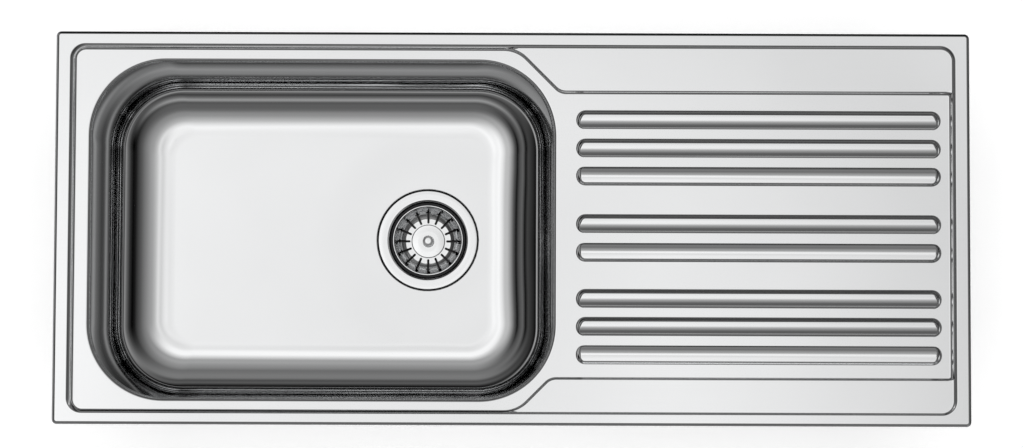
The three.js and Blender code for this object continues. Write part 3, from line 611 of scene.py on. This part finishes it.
def splitPath(points, keep):
    # runs of a closed outline's points where keep is true, as open paths of two points or more
    if keep.all():
        return [np.vstack([points, points[:1]])]
    first = int(np.argmin(keep))
    points, keep = np.roll(points, -first, axis=0), np.roll(keep, -first)
    cuts = np.flatnonzero(np.diff(keep.astype(int))) + 1
    runs = np.split(np.arange(len(points)), cuts)
    return [points[run] for run in runs if keep[run[0]] and len(run) > 1]


makeDeck()


def bowlProfile(s=bowlShape):
    # (inset, z, tilt) down the wall, round the tight foot, then along the wide arc that eases into
    # the floor; tilt is the normal's angle from straight up
    draft, foot, ease, turn = s["draft"], s["footRadius"], s["easeRadius"], s["easeTurn"]
    footLevel = s["floor"] + ease - (ease - foot) * math.cos(turn)
    footInset = wallInset(footLevel) + foot / math.cos(draft)
    easeInset = footInset + (ease - foot) * math.sin(turn)
    levels = [s["collar"], s["slotLevel"] + 14, s["slotLevel"] - 14, *s["wallLevels"]]
    wall = [(wallInset(z), z, pi / 2 - draft) for z in levels]
    tight = [(footInset - foot * math.sin(a), footLevel - foot * math.cos(a), a)
             for a in np.linspace(pi / 2 - draft, turn, 25)]
    wide = [(easeInset - ease * math.sin(a), s["floor"] + ease * (1 - math.cos(a)), a)
            for a in np.linspace(turn, 0, 15)[1:]]
    return wall + tight + wide


def makeBowl(s=bowlShape):
    # inside: rings of rounded rectangles down the profile, a floor that eases from the last ring to
    # the waste's circle, the stepped seat; outside: the same moved out by the sheet's thickness
    centre = np.array(s["wasteCentre"])
    rings, normals = [], []
    for inset, z, tilt in bowlProfile():
        ring = bowlOutline(inset)
        inward = -outlineNormals(ring)
        rings.append(withZ(ring, z))
        normals.append(np.column_stack([inward * math.sin(tilt), np.full(len(ring), math.cos(tilt))]))
    edge = rings[-1][:, :2]
    toEdge = edge - centre
    reach = np.linalg.norm(toEdge, axis=1)[:, None]
    direction = toEdge / reach
    fall, reachOfFall = s["floor"] - s["wasteLevel"], s["reachOfFall"]
    seatOuter = s["seatRadius"] + s["seatEase"]
    seat = roundCorners([(seatOuter, 0), (s["seatRadius"] + 0.4, 0),
                         (s["seatRadius"] - 0.6, -s["seatDepth"]), (s["wasteHole"], -s["seatDepth"])],
                        s["seatBend"])
    for share in np.linspace(0, 1, 14)[1:-1]:
        radius = reach * (1 - share) + seatOuter * share
        rings.append(withZ(centre + direction * radius, s["floor"]))
        normals.append(np.tile([0.0, 0.0, 1.0], (len(edge), 1)))
    for ring, normal in zip(rings, normals):
        # the floor and the wide arc sink towards the waste: z loses fall * (3 u^2 - 2 u^3)
        away = ring[:, :2] - centre
        distance = np.linalg.norm(away, axis=1)
        u = np.clip((reachOfFall - distance) / (reachOfFall - seatOuter), 0, 1)
        slope = fall * 6 * u * (1 - u) / (reachOfFall - seatOuter)
        ring[:, 2] -= fall * u * u * (3 - 2 * u)
        normal[:, :2] -= (normal[:, 2] * slope / distance)[:, None] * away
        normal /= np.linalg.norm(normal, axis=1)[:, None]
    for k, (radius, z) in enumerate(seat):
        rings.append(withZ(centre + direction * radius, s["wasteLevel"] + z))
        before, after = seat[max(k - 1, 0)], seat[min(k + 1, len(seat) - 1)]
        along = (after - before) / np.linalg.norm(after - before)
        normals.append(np.column_stack([direction * along[1], np.full(len(edge), -along[0])]))
    rows, cols = len(rings), len(rings[0])
    points, normals = ringGrid(rings), ringGrid(normals)
    faces = gridFaces(rows, cols)
    # the face grid is opened round the overflow slot, in the middle of the wall nearest the drainboard
    row, steps = 1, s["sideSteps"][0]
    patchCols = cols - steps + np.arange(steps // 4, steps * 3 // 4)
    inPatch = (faces[:, 0] // cols == row) & np.isin(faces[:, 0] % cols, patchCols)
    faces = faces[~inPatch]
    columns = np.append(patchCols, patchCols[-1] + 1)
    border = np.concatenate([row * cols + columns, ((row + 1) * cols + columns)[::-1]])
    slope = s["endTaper"] * math.tan(s["draft"])
    slot = slotOutline(s["slotHalfLength"], s["slotHalfHeight"], 14) + [s["centre"][1], s["slotLevel"]]
    flat, patch, place = triangulate([points[border][:, 1:], slot], holes=[slot])
    patchIndex = np.full(len(flat), -1)
    patchIndex[place[:len(border)]] = border
    slotX = points[border[0], 0] + (slot[:, 1] - points[border[0], 2]) * slope
    slotPoints = np.column_stack([slotX, slot])
    patchIndex[place[len(border):]] = len(points) + np.arange(len(slot))
    points = np.vstack([points, slotPoints])
    normals = np.vstack([normals, np.tile(normals[border[0]], (len(slot), 1))])
    patch = patchIndex[patch][:, ::-1]
    count = len(points)
    under = points - normals * sheetShape["thickness"]
    inside = [faces, patch]
    outside = [f[:, ::-1] + count for f in inside]
    slotIndex = count - len(slot) + np.arange(len(slot))
    ring = np.arange(cols)
    low = (rows - 1) * cols + ring
    walls = [strip(slotIndex + count, slotIndex), strip(ring + count, ring), strip(low, low + count)]
    return addPiece("bowlShell", np.concatenate([points, under]), inside + outside + walls, "sink",
                    ["bowl"], bowlSteel, np.concatenate([normals, -normals]))


makeBowl()

wasteAt = np.array([*bowlShape["wasteCentre"], bowlShape["wasteLevel"]])

wasteShape = {
    # profiles as (radius, height above the waste's level)
    "flange": [(3.6, -34), (34.4, -34), (37, -31.4), (42, -12.6), (44.8, -10.2), (45.4, -3.6),
               (47, -1.3), (56.8, -1.3), (56.6, -0.3), (46.2, -0.5), (44.6, -1.6), (44.2, -3.5),
               (43.8, -9.6), (41, -12), (36, -31), (34, -33), (3.6, -33)],
    "seal": [(40.3, -9.2), (43.3, -9.2), (43.6, -6.6), (43.2, -4.2), (40.3, -4.2)],
    "cap": [(3.4, -24.2), (19, -24.2), (19.5, -23.8), (19.4, -22.9), (18.4, -22.5), (12, -22.1),
            (3.4, -21.8)],
    "knob": [(0, -29.4), (4.6, -29.4), (6, -28), (6, -25.6), (3, -25.6), (3, -18), (5.4, -17.4),
             (6.4, -16), (6.3, -14.2), (5.5, -13.0), (3.2, -12.5), (0, -12.3)],
    "basketInside": [(3.4, -24.5), (26, -24.5), (31, -22.4), (35, -18.6), (38, -13.2), (39.2, -8),
                     (39.2, -3.6)],
    "basketWall": 0.8, "slots": 16, "slotHalf": 1.3, "slotInner": 20.6, "slotOuter": 35.8,
    "uprightFrom": 38.7,
}


def closedProfile(corners, radius, steps=4):
    # closed section whose corners share one radius
    corners = [np.array(c, float) for c in corners]
    return closedCorners(corners, [radius] * len(corners), [steps] * len(corners))


# the waste's ring wears the well's steel, with its painted shade low in the well
lathe("wasteRing", closedProfile(wasteShape["flange"], 0.9), 96, "sink",
      ["waste_flange"], wellSteelPaintedShade)
lathe("strainerSeal", closedProfile(wasteShape["seal"], 0.9), 96, "strainer",
      ["basket_seal"], blackRubber)
lathe("strainerCap", closedProfile(wasteShape["cap"], 0.4), 64, "strainer",
      ["basket_cap"], brightSteel)
lathe("strainerKnob", roundCorners(wasteShape["knob"], 0.6, 4), 48, "strainer",
      ["basket_knob"], brightSteel)


def makeBasket(s=wasteShape):
    # plan triangulated between rings and slots, then lifted to z(r) of the inside profile, with the
    # upright wall turned on; the outside is the same moved by the wall's thickness
    profile = roundCorners(s["basketInside"], [0, 4, 9, 9, 6, 3, 0])
    isLower = profile[:, 0] <= s["uprightFrom"]
    lower, upper = profile[isLower], profile[~isLower]
    radii = lower[:, 0]

    def levelAt(r):
        return np.interp(r, lower[:, 0], lower[:, 1])

    n, hubSteps = 128, 24
    loops = [circleOutline(radii[-1], n), circleOutline(radii[0], hubSteps)]
    loops += [circleOutline(r, n) for r in [20, *radii[(radii > 24) & (radii < radii[-1] - 0.2)]]]
    half = (s["slotOuter"] - s["slotInner"]) / 2
    slot = spread(slotOutline(half, s["slotHalf"], 6), 2) + [s["slotInner"] + half, 0]
    turned = []
    for k in range(s["slots"]):
        a = 2 * pi * k / s["slots"]
        turned.append(slot @ np.array([[math.cos(a), math.sin(a)], [-math.sin(a), math.cos(a)]]))
    flat, triangles, place = triangulate(loops + turned, holes=[loops[1], *turned])
    r = np.linalg.norm(flat, axis=1)
    slope = (levelAt(r + 0.3) - levelAt(r - 0.3)) / 0.6
    normals = np.column_stack([-flat / r[:, None] * slope[:, None], np.ones(len(flat))])
    normals /= np.linalg.norm(normals, axis=1)[:, None]
    points = withZ(flat, levelAt(r))
    unit = circleOutline(1, n)
    wall, wallNormals = [], []
    for radius, z in upper:
        wall.append(withZ(unit * radius, z))
        wallNormals.append(np.column_stack([-unit, np.zeros(n)]))
    start = len(points)
    points = np.concatenate([points, ringGrid(wall)])
    normals = np.concatenate([normals, ringGrid(wallNormals)])
    joined = strip(place[:n], start + np.arange(n))[:, ::-1]
    wallFaces = gridFaces(len(upper), n, start=start)[:, ::-1]
    inside = [triangles, joined, wallFaces]
    count = len(points)
    outside = [f[:, ::-1] + count for f in inside]
    walls = []
    begin = sum(len(loop) for loop in loops)
    for k in range(s["slots"]):
        ring = place[begin + k * len(slot):begin + (k + 1) * len(slot)]
        walls.append(strip(ring + count, ring))
    hub = place[n:n + hubSteps]
    walls.append(strip(hub + count, hub))
    last = start + (len(upper) - 1) * n + np.arange(n)
    walls.append(strip(last, last + count))
    allPoints = np.concatenate([points, points - normals * s["basketWall"]]) + wasteAt
    return addPiece("strainerCup", allPoints, inside + outside + walls, "strainer",
                    ["basket"], brightSteel, np.concatenate([normals, -normals]), 50,
                    sum(len(w) for w in walls))


makeBasket()

# soft pieces under the sheet, behind the overflow and round the waste
softShape = {
    "seal": [(1.8, 0.0), (6.9, 0.0), (6.9, 4.6), (4.6, 4.6), (1.8, 3.9)],
    "bowlPad": (165.0, 98.0), "drainerPad": (150.0, 110.0), "drainerCentre": (269.0, -8.75),
    "padCorner": 20.0, "padThickness": 2.0, "padHole": 70.0, "padEdge": 0.8, "padGap": 0.3,
    "overflowAt": (43.27, -1.8, -40.0),
    "overflowTilt": math.atan(bowlShape["endTaper"] * math.tan(bowlShape["draft"])),
    "gasketReach": 28.0, "gasketHalf": 12.0, "boreReach": 22.5, "boreHalf": 6.5, "gasket": (0.3, 2.3),
    "spigot": (16.0, -33.3), "hoseRadius": 10.0, "hoseBore": 7.5, "hoseBend": 60.0, "ribPitch": 4.6,
    "ribRise": 1.4, "plainEnd": 20.0, "inlet": (-34.7, -222.0), "hoseSteps": 40,
}


def makeSeal(s=softShape):
    # rounded section carried round the sink's outline under the rim
    section = closedProfile(s["seal"], 0.7, 5)
    size = sheetShape
    rings = [withZ(roundedRect(size["halfLength"] - inset, size["halfWidth"] - inset,
                               max(size["cornerRadius"] - inset, 2) + 2, steps=10), z)
             for inset, z in section]
    faces = gridFaces(len(rings), len(rings[0]), closeRows=True)
    return addPiece("foamSeal", ringGrid(rings), [faces[:, ::-1]], "sink", ["edge_seal"],
                    greyFoam, sharpAngle=60)


def makePlate(name, outlineAt, holeAt, thickness, edge, body, replaced, material, place):
    # flat plate from z = 0 up to thickness with rounded edges; outlineAt and holeAt give the plan for
    # an inset, and place carries the points to where the plate lies
    bends = [(edge * (1 - math.sin(a)), edge * (1 - math.cos(a))) for a in np.linspace(0, pi / 2, 5)]
    levels = bends + [(inset, thickness - z) for inset, z in bends[::-1]]
    walls, points, caps = [], [], []
    for shape, inside in ((outlineAt, False), (holeAt, True)):
        if shape is None:
            continue
        count = len(shape(0))
        start = sum(len(p) for p in points)
        points += [withZ(shape(inset), z) for inset, z in levels]
        faces = gridFaces(len(levels), count, start=start)
        walls.append(faces[:, ::-1] if inside else faces)
        caps.append((start, start + (len(levels) - 1) * count, count))
    points = np.concatenate(points)
    loops = [points[low:low + count, :2] for low, high, count in caps]
    flat, triangles, found = triangulate(loops, holes=loops[1:])
    back = np.full(len(flat), -1)
    back[found] = np.concatenate([np.arange(low, low + count) for low, high, count in caps])
    lower = back[triangles][:, ::-1]
    back[found] = np.concatenate([np.arange(high, high + count) for low, high, count in caps])
    faces = walls + [lower, back[triangles]]
    return addPiece(name, place(points), faces, body, replaced, material, sharpAngle=50)


def makePads(s=softShape):
    waste = np.array(bowlShape["wasteCentre"])

    def patch(size, centre, inset):
        return roundedRect(size[0] - inset, size[1] - inset, s["padCorner"] - inset, centre)

    def notched(inset):
        # the waste's circle runs out over the right edge, so it is a notch in that edge
        plain = patch(s["bowlPad"], bowlShape["centre"], inset)
        radius = s["padHole"] + inset
        mouth = math.acos((plain[0, 0] - waste[0]) / radius)
        angle = np.linspace(-mouth, mouth - 2 * pi, 60)
        circle = waste + radius * np.column_stack([np.cos(angle), np.sin(angle)])
        return spread(np.vstack([plain, circle]), 15)

    def whole(inset):
        return spread(patch(s["drainerPad"], s["drainerCentre"], inset), 15)

    below = -sheetShape["thickness"] - s["padGap"] - s["padThickness"]
    bowlBelow = bowlShape["floor"] + below - 0.2
    makePlate("bowlMat", notched, None, s["padThickness"], s["padEdge"], "sink",
              ["bowl_pad"], soundPad, lambda p: p + [0, 0, bowlBelow])
    makePlate("drainerMat", whole, None, s["padThickness"], s["padEdge"], "sink",
              ["drainer_pad"], soundPad, lambda p: p + [0, 0, below])


def besideOverflow(points, s=softShape):
    # (along Y, up the wall, out of the wall) to the sink's own axes
    y, up, out = np.asarray(points).T
    cos, sin = math.cos(s["overflowTilt"]), math.sin(s["overflowTilt"])
    return np.column_stack([out * cos + up * sin, y, up * cos - out * sin]) + s["overflowAt"]


def makeOverflowGasket(s=softShape):
    def outlineAt(inset):
        return slotOutline(s["gasketReach"] - inset, s["gasketHalf"] - inset, 20)

    def holeAt(inset):
        return slotOutline(s["boreReach"] + inset, s["boreHalf"] + inset, 20)

    low, high = s["gasket"]
    makePlate("overflowSeal", outlineAt, holeAt, high - low, 0.5, "sink",
              ["overflow_gasket"], blackRubber, lambda p: besideOverflow(p + [0, 0, low]))


def makeHose(s=softShape):
    # straight down from the spigot, one bend, straight to the waste's inlet;
    # ribs: radius + rise * ((1 - cos) / 2) ^ 0.7
    tilt, bend = s["overflowTilt"], s["hoseBend"]
    start = besideOverflow([[0, s["spigot"][1], s["spigot"][0]]])[0]
    endX, level = s["inlet"]
    drop = (start[2] - level) / math.cos(tilt)
    cornerX = start[0] - drop * math.sin(tilt)
    tangent = bend * math.tan((pi / 2 - tilt) / 2)
    first, second = drop - tangent, bend * (pi / 2 - tilt)
    length = first + second + cornerX - tangent - endX
    plain = s["plainEnd"]
    ribbed = length - 2 * plain
    ribs = int(ribbed / s["ribPitch"])
    along = np.concatenate([[0, 1, plain - 1], np.linspace(plain, length - plain, ribs * 12 + 1),
                            [length - plain + 1, length - 1, length]])
    inRibs = np.clip((along - plain) / ribbed, 0, 1)
    rise = s["ribRise"] * ((1 - np.cos(2 * pi * ribs * inRibs)) / 2) ** 0.7
    along = np.concatenate([along, along[::-1]])
    radius = np.concatenate([s["hoseRadius"] + rise, (s["hoseBore"] + rise)[::-1]])
    turn = np.clip(tilt + (along - first) / bend, tilt, pi / 2)
    beyond = np.maximum(0, along - first - second)
    middle = np.column_stack([cornerX - tangent + bend * np.cos(turn) - beyond,
                              np.full(len(along), start[1]), level + bend - bend * np.sin(turn)])
    straight = along < first
    middle[straight] = start + along[straight, None] * np.array([-math.sin(tilt), 0, -math.cos(tilt)])
    across = np.column_stack([np.cos(turn), np.zeros(len(turn)), -np.sin(turn)])
    v = np.linspace(0, 2 * pi, s["hoseSteps"], endpoint=False)[:, None]
    turned = across[:, None] * np.cos(v) + np.array([0, 1, 0]) * np.sin(v)
    rings = middle[:, None] + radius[:, None, None] * turned
    faces = gridFaces(len(rings), s["hoseSteps"], closeRows=True)
    return addPiece("ribbedHose", ringGrid(rings), [faces[:, ::-1]], "sink",
                    ["overflow_hose"], whitePlastic, sharpAngle=50)


def makeRing(name, node, radii):
    # flat rubber ring as tall as the CAD ring it stands for
    low, high = [corner[2] / mm - bowlShape["wasteLevel"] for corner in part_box(node)]
    corners = [(radii[0], low), (radii[1], low), (radii[1], high), (radii[0], high)]
    profile = closedProfile(corners, min(0.35, (high - low) / 3))
    lathe(name, profile, 96, "sink", [node], blackRubber)


makeSeal()
makePads()
makeOverflowGasket()
makeHose()
makeRing("flangeSeal", "flange_gasket", (47.7, 56.1))
makeRing("floorSeal", "floor_gasket", (46.7, 55.3))

# CAD nodes that keep their shape get a surface by the start of their name
nodeSurfaces = {
    "rail_": railSteel, "clip_nut": zincPlate, "clip_screw": zincPlate, "clip_claw": zincPlate,
    "overflow_nut": zincPlate, "overflow_stud": railSteel, "waste_screw": brightSteel,
    "waste_body": whitePlastic, "overflow_head": whitePlastic, "hose_nut": whitePlastic,
}
for nodeName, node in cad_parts.items():
    for start, surface in nodeSurfaces.items():
        if nodeName.startswith(start):
            for place in node.material_slots:
                place.material = surface

stageShape = {
    "floorLevel": -265.0, "floorHalf": 9.0, "floorColor": (0.82, 0.82, 0.82), "cameraLift": 0.5,
    "lampHeight": 2.6, "lampSize": 3.0, "lampPower": 60.0,
}


def makeFloor(s=stageShape):
    # plain pale floor; camera, glossy and transmission rays see it brighter, so that it reads as white
    h = s["floorHalf"] / mm
    points = withZ(np.array([(-h, -h), (h, -h), (h, h), (-h, h)]), s["floorLevel"])
    mesh = bpy.data.meshes.new("floor")
    mesh.from_pydata((points * mm).tolist(), [], [(0, 1, 2, 3)])
    material, tree, shader = newMaterial("floorPaint", s["floorColor"], 0.0, 0.9)
    shader.inputs["Specular IOR Level"].default_value = 0.0
    shader.inputs["Emission Color"].default_value = (1, 1, 1, 1)
    rays = addNode(tree, "ShaderNodeLightPath")
    sees = 0.0
    for kind in ("Camera", "Glossy", "Transmission"):
        sees = mathNode(tree, "MAXIMUM", rays.outputs[f"Is {kind} Ray"], sees)
    lift = mathNode(tree, "MULTIPLY", sees, s["cameraLift"])
    tree.links.new(lift, shader.inputs["Emission Strength"])
    mesh.materials.append(material)
    floor = bpy.data.objects.new("floor", mesh)
    bpy.context.scene.collection.objects.link(floor)
    return floor


makeFloor()

skyShape = {
    # brightness every 3 degrees from the zenith down to 75, towards +X, -X, +Y and -Y,
    # then (angle, brightness) down to the bright horizon
    "right": [0.96, 1.05, 0.90, 0.74, 0.88, 0.57, 0.41, 0.35, 0.27, 0.19, 0.11, 0.06, 0.01,
              0.0, 0.03, 0.14, 0.37, 0.17, 0.11, 0.06, 0.08, 0.31, 0.07, 0.05, 0.0, 0.03],
    "left": [0.96, 0.97, 1.0, 1.17, 1.08, 1.14, 0.92, 0.62, 0.60, 0.36, 0.11, 0.0, 0.09,
             0.14, 0.0, 0.06, 0.04, 0.02, 0.0, 0.28, 0.33, 0.48, 0.45, 0.03, 0.0, 0.0],
    "back": [0.96, 0.93, 0.98, 0.86, 0.90, 1.12, 1.14, 0.78, 0.40, 0.42, 0.34, 0.28, 0.18,
             0.2, 0.23, 0.22, 0.08, 0.12, 0.02, 0.0, 0.0, 0.03, 0.25, 0.23, 0.01, 0.0],
    "front": [0.96, 1.03, 1.05, 1.08, 0.84, 0.55, 0.43, 0.32, 0.28, 0.16, 0.13, 0.13, 0.10,
              0.38, 0.16, 0.05, 0.16, 0.24, 0.35, 0.29, 0.27, 0.11, 0.0, 0.0, 0.0, 0.0],
    "step": 3, "horizon": [(78, 0.06), (84, 0.18), (87, 0.4), (90, 1.0)], "highest": 1.2,
}


def makeSky(s=skyShape):
    # soft box overhead in a dim room with a bright horizon: brightness = sum over the four sides of
    # ramp * max(direction . side, 0)^2, divided by x^2 + y^2; the ramps run over the zenith angle
    world = bpy.data.worlds.new("room")
    bpy.context.scene.world = world
    world.use_nodes = True
    tree = world.node_tree
    background = tree.nodes["Background"]
    background.inputs["Color"].default_value = (1, 1, 1, 1)

    place = addNode(tree, "ShaderNodeTexCoord")
    split = addNode(tree, "ShaderNodeSeparateXYZ")
    tree.links.new(place.outputs["Generated"], split.inputs[0])
    x, y, z = split.outputs
    angle = mathNode(tree, "ARCCOSINE", mathNode(tree, "MAXIMUM", z))
    down = mathNode(tree, "DIVIDE", angle, pi / 2)
    light, total = 0.0, 1e-6
    sides = [("right", x, 1.0), ("left", x, -1.0), ("back", y, 1.0), ("front", y, -1.0)]
    for side, axis, sign in sides:
        ramp = addNode(tree, "ShaderNodeValToRGB")
        elements = ramp.color_ramp.elements
        stops = [(k * s["step"], level) for k, level in enumerate(s[side])] + s["horizon"]
        for k, (angle, level) in enumerate(stops):
            last = k == len(stops) - 1
            stop = elements[-1] if last else elements[0] if k == 0 else elements.new(angle / 90)
            stop.color = (level / s["highest"],) * 3 + (1,)
        tree.links.new(down, ramp.inputs["Fac"])
        facing = mathNode(tree, "MAXIMUM", mathNode(tree, "MULTIPLY", axis, sign))
        share = mathNode(tree, "POWER", facing, 2.0)
        light = mathNode(tree, "ADD", mathNode(tree, "MULTIPLY", share, ramp.outputs["Color"]), light)
        total = mathNode(tree, "ADD", share, total)
    brightness = mathNode(tree, "MULTIPLY", mathNode(tree, "DIVIDE", light, total), s["highest"])
    tree.links.new(brightness, background.inputs["Strength"])
    return world


makeSky()


def makeLamp(s=stageShape):
    # broad soft lamp overhead that only lights matt surfaces
    lamp = bpy.data.lights.new("softLamp", "AREA")
    lamp.shape = "SQUARE"
    lamp.size = s["lampSize"]
    lamp.energy = s["lampPower"]
    lampObject = bpy.data.objects.new("softLamp", lamp)
    lampObject.location = (0, 0, s["lampHeight"])
    lampObject.visible_camera = False
    lampObject.visible_glossy = False
    bpy.context.scene.collection.objects.link(lampObject)


makeLamp()

cameraShape = {"place": (0.0, -0.225, 3.426), "target": (-0.0008, 0.0046, 0.006), "lens": 110.6}


def makeCamera(s=cameraShape):
    camera = bpy.data.cameras.new("camera")
    camera.sensor_fit = "HORIZONTAL"
    camera.sensor_width = 36
    camera.lens = s["lens"]
    cameraObject = bpy.data.objects.new("camera", camera)
    cameraObject.location = s["place"]
    aim = Vector(s["target"]) - Vector(s["place"])
    cameraObject.rotation_euler = aim.to_track_quat("-Z", "Y").to_euler()
    bpy.context.scene.collection.objects.link(cameraObject)
    bpy.context.scene.camera = cameraObject


makeCamera()
bpy.context.scene.view_settings.view_transform = "Standard"

print("finishing")
